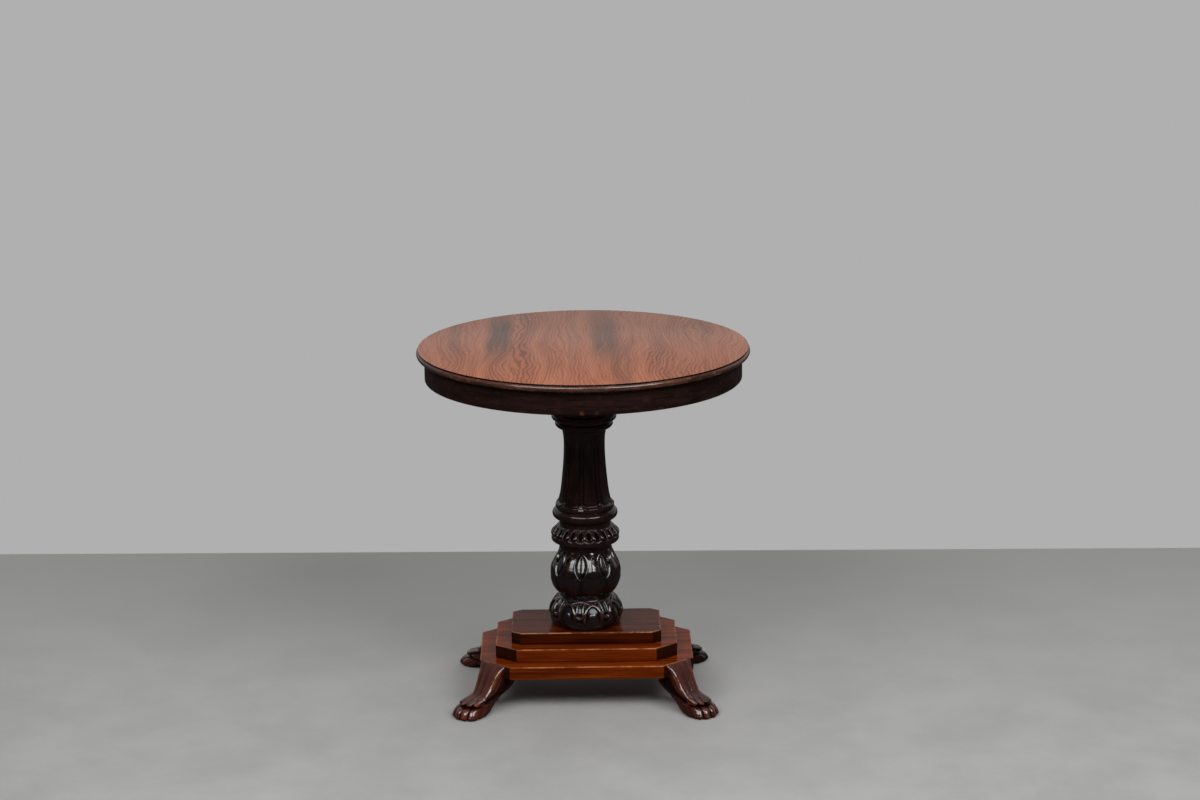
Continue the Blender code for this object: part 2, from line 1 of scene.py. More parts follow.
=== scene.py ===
"""Looks of the round pedestal table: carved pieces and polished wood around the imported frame.

Metres, +Z up, the front faces -Y and the floor is z = 0. Outlines are in millimetres where a name says MM.
"""

from math import atan2, cos, hypot, pi, radians, sin

import bmesh
import bpy
import numpy as np
from mathutils import Matrix, Vector, noise


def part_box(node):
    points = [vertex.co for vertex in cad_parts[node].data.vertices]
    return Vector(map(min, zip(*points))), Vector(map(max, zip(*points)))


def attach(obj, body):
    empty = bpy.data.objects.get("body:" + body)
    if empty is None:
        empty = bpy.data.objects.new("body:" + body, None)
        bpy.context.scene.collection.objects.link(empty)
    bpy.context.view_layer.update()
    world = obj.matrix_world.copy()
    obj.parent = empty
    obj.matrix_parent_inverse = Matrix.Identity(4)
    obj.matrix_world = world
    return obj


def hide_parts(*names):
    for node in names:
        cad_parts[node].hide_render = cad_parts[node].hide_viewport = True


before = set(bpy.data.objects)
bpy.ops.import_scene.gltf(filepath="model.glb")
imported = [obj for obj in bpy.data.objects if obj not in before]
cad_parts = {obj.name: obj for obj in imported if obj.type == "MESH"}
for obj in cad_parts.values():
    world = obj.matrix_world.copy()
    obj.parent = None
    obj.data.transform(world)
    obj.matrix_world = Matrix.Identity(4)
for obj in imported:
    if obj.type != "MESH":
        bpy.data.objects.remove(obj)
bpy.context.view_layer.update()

MM = 0.001
SCENE = bpy.context.scene

# Top
TOP_RADIUS = 0.29999
TOP_HEIGHT = 0.660
VENEER_RADIUS = 0.2972
VENEER_LOW = 0.6576
RIM_LOW = 0.6460
RIM_HIGH = 0.6573
RIM_INNER = 0.2620
FRIEZE_RADIUS = 0.2860
FRIEZE_INNER = 0.2680
FRIEZE_LOW = 0.6037
FRIEZE_HIGH = 0.6457
JOINT = 0.0003
TIGHT_JOINT = 0.00004
VENEER_JOINT = 0.43
SEGMENTS = 6
STEPS_PER_SEGMENT = 60

# Column carving
CARVING_TURN = radians(-8.5)
RING_TURN = radians(-2.2)
LEAVES = 8
COLLAR_LOBES = 24
CARVED_STEPS = 640
PLAIN_STEPS = 200

# Platform
PLATFORM_HALF_X = 0.195
PLATFORM_HALF_Y = 0.119
SETBACK_X = 0.029
SETBACK_Y = 0.026
CANT_X = 0.056
CANT_Y = 0.043
STEP_LEVELS = ((0.0660, 0.0900), (0.0903, 0.1145), (0.1148, 0.1370))
LOWER_JOINT_Y = -0.01369
SPIGOT_RADIUS = 0.0200
SPIGOT_FOOT = 0.0670

# Paws
PAW_TOP = 0.0888
PAW_REACH = 0.082
PAW_STEPS = 224
PAW_GIRTH = 0.030
TOES = 4
HEEL_SQUARENESS = 1.5


def smooth(low, high, value):
    """Runs smoothly from 0 at low to 1 at high."""
    share = np.clip((value - low) / (high - low), 0.0, 1.0)
    return share * share * (3.0 - 2.0 * share)


def bell(value, width):
    return np.exp(-((value / width) ** 2))


def bead(value, half_width, flatness=4):
    """A rounded ridge, 1 along its middle and 0 from its edges on. A flatness of 2 makes it half round."""
    return np.sqrt(np.clip(1.0 - np.abs(value / half_width) ** flatness, 0.0, 1.0))


def fold(angle, count):
    """Signed angle from the nearest of count equal places round the column."""
    share = 2 * pi / count
    return (angle + share / 2) % share - share / 2


def monotone(places, values, samples):
    """A smooth curve through the values that adds no humps of its own."""
    step = np.diff(places)
    rise = np.diff(values) / step
    slope = np.empty_like(values)
    slope[0], slope[-1] = rise[0], rise[-1]
    product = rise[:-1] * rise[1:]
    total = rise[:-1] + rise[1:]
    slope[1:-1] = np.where(product > 0, 2 * product / np.where(product > 0, total, 1.0), 0.0)
    k = np.clip(np.searchsorted(places, samples) - 1, 0, len(step) - 1)
    t = (samples - places[k]) / step[k]
    start, end = values[k], values[k + 1]
    blend = t * t * (3 - 2 * t)
    lead = t * (1 - t) ** 2 * step[k] * slope[k]
    tail = t * t * (1 - t) * step[k] * slope[k + 1]
    return start + blend * (end - start) + lead - tail


def mesh_from_rings(name, rings, relief=None, grain=None):
    """A closed mesh skinned over rings of equal length, with flat ends. The rings run anticlockwise, from below.

    Relief is each point's height over its surroundings, grain its place in straightened wood.
    """
    rows, count = rings.shape[:2]
    index = np.arange(rows * count).reshape(rows, count)
    following = np.roll(index, -1, axis=1)
    quads = np.stack((index[:-1], following[:-1], following[1:], index[1:]), axis=-1).reshape(-1, 4)
    faces = quads.tolist()
    faces.append(index[0][::-1].tolist())
    faces.append(index[-1].tolist())
    mesh = bpy.data.meshes.new(name)
    mesh.from_pydata(rings.reshape(-1, 3).tolist(), [], faces)
    if relief is not None:
        layer = mesh.attributes.new("relief", "FLOAT", "POINT")
        layer.data.foreach_set("value", relief.reshape(-1).astype(np.float32))
    if grain is not None:
        layer = mesh.attributes.new("grain", "FLOAT_VECTOR", "POINT")
        layer.data.foreach_set("vector", grain.reshape(-1).astype(np.float32))
    mesh.shade_smooth()
    mesh.set_sharp_from_angle(angle=radians(50))
    return mesh


def add_piece(mesh, material, slot, *nodes):
    """Puts a finished mesh on the table in the place of its CAD nodes."""
    piece = bpy.data.objects.new(mesh.name, mesh)
    SCENE.collection.objects.link(piece)
    mesh.materials.append(material)
    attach(piece, "root")
    if nodes:
        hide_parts(*nodes)
    return piece


def cut_with(mesh, cutters):
    """The mesh less some closed cutter meshes."""
    body = bpy.data.objects.new("cut_body", mesh)
    SCENE.collection.objects.link(body)
    tools = []
    for cutter in cutters:
        tool = bpy.data.objects.new("cut_tool", cutter)
        SCENE.collection.objects.link(tool)
        tools.append(tool)
        boolean = body.modifiers.new("cut", "BOOLEAN")
        boolean.object = tool
        boolean.solver = "EXACT"
    shaped = body.evaluated_get(bpy.context.evaluated_depsgraph_get())
    result = bpy.data.meshes.new_from_object(shaped)
    name = mesh.name
    for used in (body, *tools):
        data = used.data
        bpy.data.objects.remove(used)
        bpy.data.meshes.remove(data)
    result.name = name
    result.set_sharp_from_angle(angle=radians(50))
    return result


def rod(radius, low, high, x=0.0, y=0.0, steps=64):
    angles = np.linspace(0, 2 * pi, steps, endpoint=False)
    ring = np.stack((x + radius * np.sin(angles), y - radius * np.cos(angles)), axis=-1)
    rings = np.stack([np.c_[ring, np.full(steps, z)] for z in (low, high)])
    return mesh_from_rings("rod", rings)


# Materials
VENEER_RED = (0.330, 0.101, 0.0475)
VENEER_TAN = (0.430, 0.153, 0.0795)
VENEER_LINE = (0.130, 0.033, 0.015)
VENEER_LIGHT = (0.470, 0.185, 0.098)
VENEER_SMOKE = (0.085, 0.036, 0.022)
VENEER_PORE = (0.100, 0.026, 0.012)
# Painted shadow for the quirk along the veneer's edge
VENEER_QUIRK_SHADE = (0.010, 0.004, 0.003)
LINES_PER_METRE = 145.0


def add_node(tree, kind, values=(), **settings):
    """Adds a shader node. Values are (input, number or socket) pairs."""
    item = tree.nodes.new(kind)
    for key, value in settings.items():
        setattr(item, key, value)
    for key, value in values:
        if isinstance(value, bpy.types.NodeSocket):
            tree.links.new(value, item.inputs[key])
        else:
            item.inputs[key].default_value = value
    return item


def math_node(tree, operation, first, second=0.0, third=0.0):
    item = add_node(tree, "ShaderNodeMath", ((0, first), (1, second), (2, third)), operation=operation)
    return item.outputs[0]


def remap(tree, value, low, high, to_low=0.0, to_high=1.0):
    pairs = ((0, value), (1, low), (2, high), (3, to_low), (4, to_high))
    item = add_node(tree, "ShaderNodeMapRange", pairs, interpolation_type="SMOOTHSTEP")
    return item.outputs[0]


def mix(tree, share, first, second, blend_type="MIX"):
    item = add_node(tree, "ShaderNodeMix", data_type="RGBA", blend_type=blend_type)
    for key, value in ((0, share), (6, first), (7, second)):
        if isinstance(value, bpy.types.NodeSocket):
            tree.links.new(value, item.inputs[key])
        elif key == 0:
            item.inputs[key].default_value = value
        else:
            item.inputs[key].default_value = (*value, 1.0)
    return item.outputs[2]


def grain_noise(tree, coords, scale, detail=3.0, roughness=0.55, distortion=0.0):
    """Noise over coordinates that are stretched along the grain by the three scales."""
    stretched = add_node(tree, "ShaderNodeMapping", (("Vector", coords), ("Scale", scale)))
    pairs = (
        ("Vector", stretched.outputs[0]),
        ("Scale", 1.0),
        ("Detail", detail),
        ("Roughness", roughness),
        ("Distortion", distortion),
    )
    return add_node(tree, "ShaderNodeTexNoise", pairs).outputs["Fac"]


def along(axis, lengthwise, across):
    """Three scales, small along the grain's axis and large across it."""
    scale = [across, across, across]
    scale["XYZ".index(axis)] = lengthwise
    return tuple(scale)


def start_material(name, roughness, bent=False):
    """A new material and its coordinates, which follow the mesh's own grain where the wood is bent."""
    material = bpy.data.materials.new(name)
    material.use_nodes = True
    tree = material.node_tree
    shader = tree.nodes["Principled BSDF"]
    shader.inputs["Roughness"].default_value = roughness
    if bent:
        coords = add_node(tree, "ShaderNodeAttribute", attribute_name="grain").outputs["Vector"]
    else:
        coords = add_node(tree, "ShaderNodeTexCoord").outputs["Object"]
    return material, tree, shader, coords


def shifted(tree, coords, offset):
    return add_node(tree, "ShaderNodeVectorMath", ((0, coords), (1, offset)), operation="ADD").outputs[0]


def finish_wood(tree, shader, colour, fibres, roughness, bump_depth):
    """Sets the colour, and lets the fibres vary the gloss and the surface a little."""
    tree.links.new(colour, shader.inputs["Base Color"])
    gloss = remap(tree, fibres, 0.25, 0.75, roughness * 1.15, roughness * 0.85)
    tree.links.new(gloss, shader.inputs["Roughness"])
    pairs = (("Strength", 0.35), ("Distance", bump_depth), ("Height", fibres))
    bump = add_node(tree, "ShaderNodeBump", pairs)
    tree.links.new(bump.outputs[0], shader.inputs["Normal"])


def polished_wood(name, dark, middle, light, axis, seed, roughness, figure, fibre=(18.0, 900.0), bump=0.0002,
                  bent=False):
    """Plain polished wood with streaks and pores. Figure and fibre are scales along the axis and across it."""
    material, tree, shader, coords = start_material(name, roughness, bent)
    moved = shifted(tree, coords, (seed * 1.7, seed * 0.9, seed * 2.3))
    broad = grain_noise(tree, moved, along(axis, *figure), detail=4.0, distortion=0.6)
    streaks = grain_noise(tree, moved, along(axis, figure[0] * 1.5, figure[1] * 5), detail=3.0)
    fibres = grain_noise(tree, moved, along(axis, *fibre), detail=2.0, roughness=0.7)
    tone = mix(tree, remap(tree, broad, 0.32, 0.68), dark, middle)
    tone = mix(tree, remap(tree, streaks, 0.50, 0.78), tone, light)
    pores = remap(tree, fibres, 0.54, 0.70, 0.0, 0.55)
    tone = mix(tree, pores, tone, tuple(0.35 * c for c in dark))
    finish_wood(tree, shader, tone, fibres, roughness, bump)
    return material, tree, shader, coords, tone


def veneer_material(name, seed, streaks):
    """Figured veneer with its grain front to back: fine wavy lines, smoky streaks and fine dark pores."""
    material, tree, shader, coords = start_material(name, 0.30)
    moved = shifted(tree, coords, (seed * 0.37, seed * 0.23, 0.0))
    sway = grain_noise(tree, moved, (8.0, 4.2, 1.0), detail=2.0, roughness=0.45)
    split = add_node(tree, "ShaderNodeSeparateXYZ", ((0, moved),))
    place_x = math_node(tree, "MULTIPLY_ADD", sway, 0.085, split.outputs[0])
    flowing = add_node(tree, "ShaderNodeCombineXYZ", ((0, place_x), (1, split.outputs[1]), (2, 0.0))).outputs[0]
    broad = grain_noise(tree, flowing, (24.0, 2.2, 1.0), detail=3.0)
    rings = grain_noise(tree, flowing, (170.0, 3.6, 1.0), detail=3.0, roughness=0.7)
    fibres = grain_noise(tree, moved, (1100.0, 22.0, 1.0), detail=2.0, roughness=0.7)
    tone = mix(tree, remap(tree, broad, 0.30, 0.70), VENEER_RED, VENEER_TAN)
    tone = mix(tree, remap(tree, rings, 0.50, 0.66, 0.0, 0.40), tone, VENEER_LINE)
    tone = mix(tree, remap(tree, rings, 0.47, 0.34, 0.0, 0.45), tone, VENEER_LIGHT)
    wobble = grain_noise(tree, moved, (32.0, 15.0, 1.0), detail=2.0, roughness=0.5)
    turns = math_node(tree, "MULTIPLY_ADD", place_x, LINES_PER_METRE, math_node(tree, "MULTIPLY", wobble, 3.4))
    wave = math_node(tree, "SINE", math_node(tree, "MULTIPLY", turns, 2 * pi))
    patchy = remap(tree, broad, 0.32, 0.62, 0.78, 0.24)
    lines = math_node(tree, "MULTIPLY", remap(tree, wave, 0.0, 0.90), patchy)
    tone = mix(tree, lines, tone, VENEER_LINE)
    bare = add_node(tree, "ShaderNodeSeparateXYZ", ((0, coords),))
    wander = math_node(tree, "MULTIPLY_ADD", sway, 0.030, -0.015)
    here_x = math_node(tree, "ADD", bare.outputs[0], wander)
    for centre, half, fade_low, fade_high, strength in streaks:
        aside = math_node(tree, "ABSOLUTE", math_node(tree, "SUBTRACT", here_x, centre))
        band = remap(tree, aside, half, half * 0.30, 0.0, strength)
        reach = remap(tree, bare.outputs[1], fade_low, fade_high)
        band = math_node(tree, "MULTIPLY", band, reach)
        band = math_node(tree, "MULTIPLY", band, remap(tree, bare.outputs[1], 0.28, 0.12, 0.40, 1.0))
        band = math_node(tree, "MULTIPLY", band, remap(tree, rings, 0.20, 0.60, 0.60, 1.0))
        tone = mix(tree, band, tone, VENEER_SMOKE)
    tone = mix(tree, remap(tree, fibres, 0.54, 0.70, 0.0, 0.25), tone, VENEER_PORE)
    # Painted shadow: the steep edges of each leaf are painted almost black, standing in for the shade in the quirk
    # against the rim.
    facing = add_node(tree, "ShaderNodeSeparateXYZ", ((0, add_node(tree, "ShaderNodeTexCoord").outputs["Normal"]),))
    tone = mix(tree, remap(tree, facing.outputs[2], 0.7, 0.3), tone, VENEER_QUIRK_SHADE)
    shader.inputs["Specular IOR Level"].default_value = 0.31
    finish_wood(tree, shader, tone, fibres, 0.30, 0.00015)
    return material


def carved_material(name, dark, middle, light, worn, axis, seed, roughness, gloss, wear=(0.25, 0.9), bent=False):
    """Polished carved wood: the cuts darkened with painted shade, the ridges lighter, partly worn and partly a painted
    highlight.
    """
    material, tree, shader, coords, tone = polished_wood(
        name, dark, middle, light, axis, seed, roughness, figure=(7.0, 60.0), bump=0.00003, bent=bent)
    relief = add_node(tree, "ShaderNodeAttribute", attribute_name="relief").outputs["Fac"]
    patches = grain_noise(tree, coords, (70.0, 70.0, 70.0), detail=4.0, roughness=0.65)
    # Ridges take the worn colour: partly wear, partly a painted highlight, chiefly on the paws' toes and cuff.
    rubbed_and_highlight = math_node(tree, "MULTIPLY", remap(tree, relief, *wear), remap(tree, patches, 0.42, 0.66))
    tone = mix(tree, rubbed_and_highlight, tone, worn)
    # Painted shade: the deeper the cut, the nearer its colour goes to black.
    tone = mix(tree, remap(tree, relief, -0.10, -0.75, 0.0, 0.85), tone, tuple(0.12 * c for c in dark))
    tree.links.new(tone, shader.inputs["Base Color"])
    shader.inputs["Specular IOR Level"].default_value = gloss
    tree.links.new(remap(tree, relief, -0.85, -0.15, 0.04, gloss), shader.inputs["Specular IOR Level"])
    sheen = shader.inputs["Roughness"].links[0].from_socket
    dusty = math_node(tree, "MAXIMUM", sheen, remap(tree, relief, -0.80, -1.0, 0.0, 0.60))
    tree.links.new(dusty, shader.inputs["Roughness"])
    return material


def stepped_material(name, axis, seed, shade):
    """Orange-brown polished boards: faces across the grain darker (end grain and painted shade), tops painted lighter
    as painted light, and pale arrises (wear and a painted highlight).
    """
    # Shade scales every colour down: painted shade.
    material, tree, shader, coords, tone = polished_wood(
        name, tuple(shade * c for c in (0.058, 0.0076, 0.0007)), tuple(shade * c for c in (0.165, 0.0235, 0.0016)),
        tuple(shade * c for c in (0.250, 0.048, 0.005)), axis, seed, roughness=0.13, figure=(3.0, 55.0))
    shader.inputs["Specular IOR Level"].default_value = 0.08
    facing = add_node(tree, "ShaderNodeSeparateXYZ", ((0, add_node(tree, "ShaderNodeTexCoord").outputs["Normal"]),))
    sideways = math_node(tree, "ABSOLUTE", facing.outputs[0])
    # Painted light: faces that look up are painted about a fifth lighter than the rest.
    tone = mix(tree, remap(tree, facing.outputs[2], 0.5, 0.9), tone, (1.22, 1.22, 1.22), "MULTIPLY")
    # Faces across the grain, the cants and ends, are painted nearly black: partly darker end grain, partly painted
    # shade.
    end_grain_and_shade = remap(tree, sideways, 0.35, 0.60)
    tone = mix(tree, math_node(tree, "MULTIPLY", end_grain_and_shade, 0.90), tone, (0.012, 0.0036, 0.0018))
    # Pale arrises: partly wear, partly a painted highlight, faint on the cants and ends.
    relief = add_node(tree, "ShaderNodeAttribute", attribute_name="relief").outputs["Fac"]
    patches = grain_noise(tree, coords, (28.0, 28.0, 28.0), detail=5.0, roughness=0.7)
    rubbed_and_highlight = math_node(tree, "MULTIPLY", remap(tree, relief, 0.35, 0.95), remap(tree, patches, 0.38, 0.60, 0.15, 0.9))
    rubbed_and_highlight = math_node(tree, "MULTIPLY", rubbed_and_highlight, remap(tree, sideways, 0.15, 0.40, 1.0, 0.30))
    tone = mix(tree, rubbed_and_highlight, tone, (0.46, 0.195, 0.085))
    tree.links.new(tone, shader.inputs["Base Color"])
    return material


def frieze_material():
    """Dark polished frieze with two worn spots at the lower edge of the front joint."""
    material, tree, shader, coords, tone = polished_wood(
        "frieze_finish", (0.009, 0.0042, 0.0036), (0.020, 0.0080, 0.0064), (0.034, 0.0135, 0.0105), "Z", 3.0,
        roughness=0.30, figure=(80.0, 9.0), fibre=(600.0, 30.0), bump=0.00005)
    shader.inputs["Specular IOR Level"].default_value = 0.15
    place = add_node(tree, "ShaderNodeSeparateXYZ", ((0, coords),))
    broken = grain_noise(tree, coords, (160.0, 160.0, 160.0), detail=4.0)
    front = remap(tree, place.outputs[1], -0.20, -0.25)
    low = remap(tree, place.outputs[2], FRIEZE_LOW + 0.0095, FRIEZE_LOW + 0.0030)
    for centre, half, strength in ((-0.0035, 0.0050, 0.38), (0.0225, 0.0040, 0.30)):
        aside = math_node(tree, "ABSOLUTE", math_node(tree, "SUBTRACT", place.outputs[0], centre))
        spot = math_node(tree, "MULTIPLY", remap(tree, aside, half, half * 0.4, 0.0, strength), low)
        spot = math_node(tree, "MULTIPLY", spot, remap(tree, broken, 0.30, 0.55))
        tone = mix(tree, math_node(tree, "MULTIPLY", spot, front), tone, (0.20, 0.075, 0.025))
    tree.links.new(tone, shader.inputs["Base Color"])
    return material


def steel_material():
    material, tree, shader, coords = start_material("screw_steel", 0.45)
    shader.inputs["Metallic"].default_value = 1.0
    rust = grain_noise(tree, coords, (900.0, 900.0, 900.0), detail=4.0)
    tone = mix(tree, remap(tree, rust, 0.45, 0.65), (0.30, 0.29, 0.28), (0.16, 0.09, 0.06))
    finish_wood(tree, shader, tone, rust, 0.45, 0.0001)
    return material


# Top
def leaf_outline(x0, x1, radius):
    """Plan of a strip of the round top, anticlockwise from its front left corner."""
    left, right = max(x0, -radius), min(x1, radius)
    steps = 120
    start, end = np.arccos(left / radius), np.arccos(right / radius)
    front = -np.linspace(start, end, steps)
    rear = np.linspace(end, start, steps)
    if right >= radius:
        rear = rear[1:]
    if left <= -radius:
        front = front[1:]
    angles = np.concatenate((front, rear))
    return np.stack((radius * np.cos(angles), radius * np.sin(angles)), axis=-1)


def build_veneer():
    """Four leaves, closely jointed, with the rim's edge slightly eased."""
    joint = VENEER_JOINT * VENEER_RADIUS
    edges = (-TOP_RADIUS, -joint, 0.0, joint, TOP_RADIUS)
    leaves = (
        ("veneer_leaf_left", 1.0, ((-0.154, 0.034, -0.17, 0.04, 0.92), (-0.232, 0.016, -0.25, 0.05, 0.35))),
        ("veneer_leaf_mid_left", 2.6, ((-0.020, 0.012, -0.30, 0.00, 0.20),)),
        ("veneer_leaf_mid_right", 2.6, ((0.038, 0.034, -0.19, 0.01, 0.78), (0.070, 0.024, 0.10, -0.10, 0.4))),
        ("veneer_leaf_right", 2.6, ((0.225, 0.020, -0.05, 0.15, 0.20), (0.20, 0.12, -0.50, -0.30, 0.16))),
    )
    ease = 0.0004
    levels = ((0.0, VENEER_LOW), (0.0, TOP_HEIGHT - ease), (0.3 * ease, TOP_HEIGHT - 0.3 * ease), (ease, TOP_HEIGHT))
    for (name, seed, streaks), x0, x1 in zip(leaves, edges, edges[1:]):
        rings = []
        for inset, z in levels:
            outline = leaf_outline(x0 + TIGHT_JOINT / 2, x1 - TIGHT_JOINT / 2, VENEER_RADIUS - inset)
            rings.append(np.c_[outline, np.full(len(outline), z)])
        mesh = mesh_from_rings(name + "_figured", np.array(rings))
        add_piece(mesh, veneer_material(name + "_finish", seed, streaks), "figured_veneer", name)


def sweep_segment(name, section, number):
    """A section of (radius, height) points swept round one sixth of the top."""
    share = 2 * pi / SEGMENTS
    slack = JOINT / 2 / TOP_RADIUS
    start = -pi / 2 + number * share
    angles = np.linspace(start + slack, start + share - slack, STEPS_PER_SEGMENT)
    section = np.array(section)
    rings = [
        np.stack((section[:, 0] * cos(a), section[:, 0] * sin(a), section[:, 1]), axis=-1) for a in angles
    ]
    return mesh_from_rings(name, np.array(rings))


def build_rim_and_frieze():
    """Rim with a half-round nose, and the plain frieze with an eased lower edge."""
    rim_finish, _, rim_shader, _, _ = polished_wood(
        "rim_finish", (0.022, 0.009, 0.006), (0.080, 0.029, 0.017), (0.150, 0.058, 0.030), "Z", 2.0,
        roughness=0.20, figure=(90.0, 12.0), fibre=(600.0, 30.0), bump=0.00003)
    rim_shader.inputs["Specular IOR Level"].default_value = 0.60
    frieze_finish = frieze_material()
    nose = (RIM_HIGH - RIM_LOW) / 2
    centre = TOP_RADIUS - nose
    turns = np.linspace(-pi / 2, pi / 2, 21)
    rim = [(RIM_INNER, RIM_HIGH), (RIM_INNER, RIM_LOW)]
    rim += [(centre + nose * cos(t), RIM_LOW + nose + nose * sin(t)) for t in turns]
    ease = 0.0012
    frieze = [(FRIEZE_INNER, FRIEZE_HIGH), (FRIEZE_INNER, FRIEZE_LOW)]
    for t in np.linspace(-pi / 2, 0, 6):
        frieze.append((FRIEZE_RADIUS - ease + ease * cos(t), FRIEZE_LOW + ease + ease * sin(t)))
    frieze.append((FRIEZE_RADIUS, FRIEZE_HIGH))
    for k in range(SEGMENTS):
        node = f"rim_moulding_{k + 1}"
        add_piece(sweep_segment(node + "_nosed", rim, k), rim_finish, "rim_wood", node)
        node = f"frieze_segment_{k + 1}"
        add_piece(sweep_segment(node + "_plain", frieze, k), frieze_finish, "frieze_wood", node)


# Column
BASE_RING_MM = (
    ((137.0, 57.5), (137.9, 60.8), (139.8, 63.0), (143.5, 64.6), (150.0, 65.8), (159.3, 66.4),
     (168.5, 64.7), (176.6, 60.7), (183.7, 55.2), (188.4, 50.2), (190.2, 48.4)),
    ((190.2, 48.4), (191.3, 48.0)),
)
VASE_MM = (
    ((191.5, 47.4), (195.0, 48.2), (199.0, 52.0), (203.0, 55.8), (207.3, 58.7), (214.8, 62.3), (223.1, 64.4),
     (234.3, 64.7), (245.4, 62.7), (253.8, 58.9), (262.2, 54.6), (272.4, 49.6), (279.0, 48.0), (284.5, 47.6)),
)
COLLAR_MM = (
    ((284.9, 47.6), (289.0, 47.9), (292.4, 49.6)),
    ((292.4, 49.6), (294.2, 55.5), (296.0, 60.4), (299.0, 62.0), (304.5, 61.9), (310.0, 60.9), (314.0, 58.9),
     (318.0, 55.9), (321.5, 52.3), (324.0, 49.8), (325.6, 48.6)),
    ((325.6, 48.6), (327.0, 48.8), (327.6, 47.2)),
    ((327.6, 47.2), (331.0, 46.8), (337.3, 49.2)),
)
SHAFT_MM = (
    ((337.6, 49.8), (338.8, 53.8), (341.2, 57.2), (344.4, 59.1), (347.6, 59.6), (350.8, 59.0), (354.0, 57.0),
     (356.6, 53.6), (357.6, 51.6)),
    ((357.6, 51.6), (358.6, 52.9), (361.0, 53.6), (363.0, 53.2)),
    ((363.0, 53.2), (365.0, 52.2), (368.0, 50.2), (375.6, 47.2), (389.9, 44.2), (416.9, 41.0), (447.3, 38.4),
     (472.6, 37.4), (490.0, 38.0), (506.3, 40.0)),
)
CAP_MM = (
    ((506.6, 40.4), (508.4, 45.6), (511.0, 49.8), (515.5, 52.6), (519.0, 52.3), (521.4, 50.2)),
    ((521.4, 50.2), (522.2, 50.2)),
    ((522.2, 50.2), (523.6, 54.2), (526.0, 57.8), (529.3, 59.0), (532.6, 58.2), (535.4, 55.4), (537.2, 51.8)),
    ((537.2, 51.8), (538.0, 50.6)),
    ((538.0, 50.6), (544.0, 48.0), (555.3, 47.0), (567.5, 50.0), (578.0, 57.0), (582.0, 61.0)),
    ((582.0, 61.0), (582.9, 62.0), (587.8, 62.0)),
)


def profile_points(runs, spacing):
    """Evenly spaced (height, radius) points and outward normals along smooth runs that meet at corners."""
    points = []
    for run in runs:
        run = np.array(run)
        length = np.concatenate(([0.0], np.cumsum(np.hypot(*np.diff(run, axis=0).T))))
        count = max(3, int(round(length[-1] / spacing)) + 1)
        samples = np.linspace(0.0, length[-1], count)
        curve = np.stack([monotone(length, run[:, k], samples) for k in (0, 1)], axis=-1)
        points.append(curve if not points else curve[1:])
    points = np.concatenate(points)
    slope = np.gradient(points, axis=0)
    slope /= np.hypot(slope[:, 0], slope[:, 1])[:, None]
    return points[:, 0], points[:, 1], -slope[:, 1], slope[:, 0]


def softened(grid):
    """Averages each point with its neighbours, round the column and along it."""
    grid = (np.roll(grid, 1, axis=1) + 2 * grid + np.roll(grid, -1, axis=1)) / 4
    padded = np.pad(grid, ((1, 1), (0, 0)), mode="edge")
    return (padded[:-2] + 2 * padded[1:-1] + padded[2:]) / 4


def turned_mesh(name, runs, carve=None, spacing=1.0, steps=CARVED_STEPS, relief_scale=3.0):
    """A turning with carving that moves each point along the outline's normal."""
    z, r, normal_z, normal_r = (values[:, None] for values in profile_points(runs, spacing))
    theta = np.linspace(0, 2 * pi, steps, endpoint=False)[None, :]
    depth = softened(carve(theta - CARVING_TURN, z, r)) if carve else np.zeros((len(z), steps))
    radius = (r + depth * normal_r) * MM
    height = (z + depth * normal_z) * MM
    rings = np.stack((radius * np.sin(theta), -radius * np.cos(theta), height), axis=-1)
    return mesh_from_rings(name, rings, np.clip(depth / relief_scale, -1.0, 1.0))


def almond(lengthwise, sideways, half_length, half_width, fullness=0.85):
    """Depth inside a pointed oval, and a window that closes at its two points."""
    share = lengthwise / half_length
    inside = half_width * np.clip(1.0 - share ** 2, 0.0, 1.0) ** fullness - np.abs(sideways)
    return inside, smooth(1.04, 0.86, np.abs(share))


def carve_vase(theta, z, r):
    """Lancets on eight axes, broad leaves with slanted eyelets between them, lobes below. Millimetres."""
    angle = fold(theta, LEAVES)
    across = angle * r
    middle = np.abs(angle) / (pi / LEAVES)
    depth = 1.9 * smooth(238.0, 252.0, z) * smooth(0.38, 1.0, middle)

    inside, window = almond(z - 257.5, across, 22.5, 11.8)
    lancet = 0.8 * bell(inside + 0.2, 1.8) - 2.5 * bell(inside - 2.7, 1.4)
    lancet += smooth(3.6, 5.2, inside) * (0.9 - 1.9 * bell(across, 1.1))
    depth = depth + window * lancet

    beside = (np.abs(fold(theta, LEAVES // 2)) - radians(28.4)) * r
    above = z - 265.5
    lean, rise = sin(radians(35.0)), cos(radians(35.0))
    inside, window = almond(lean * beside - rise * above, rise * beside + lean * above, 10.2, 3.3, 1.0)
    depth = depth + window * (0.5 * bell(inside + 1.1, 1.1) - 3.2 * smooth(-0.6, 1.4, inside))
    depth = depth + window * 1.0 * bell(inside - 3.2, 1.0)

    below = smooth(242.0, 228.0, z)
    lobe = np.sqrt(np.clip(1.0 - (1.0 - middle) ** 2, 0.0, 1.0))
    depth = depth + below * (2.7 * lobe - 2.3)
    veins = bell(np.abs(middle - 1.0) * 22.0 - 6.0 - 0.22 * (z - 212.0), 1.8)
    depth = depth - below * 0.7 * veins * smooth(205.0, 212.0, z)
    return depth * smooth(193.0, 202.0, z) * smooth(284.0, 278.0, z)


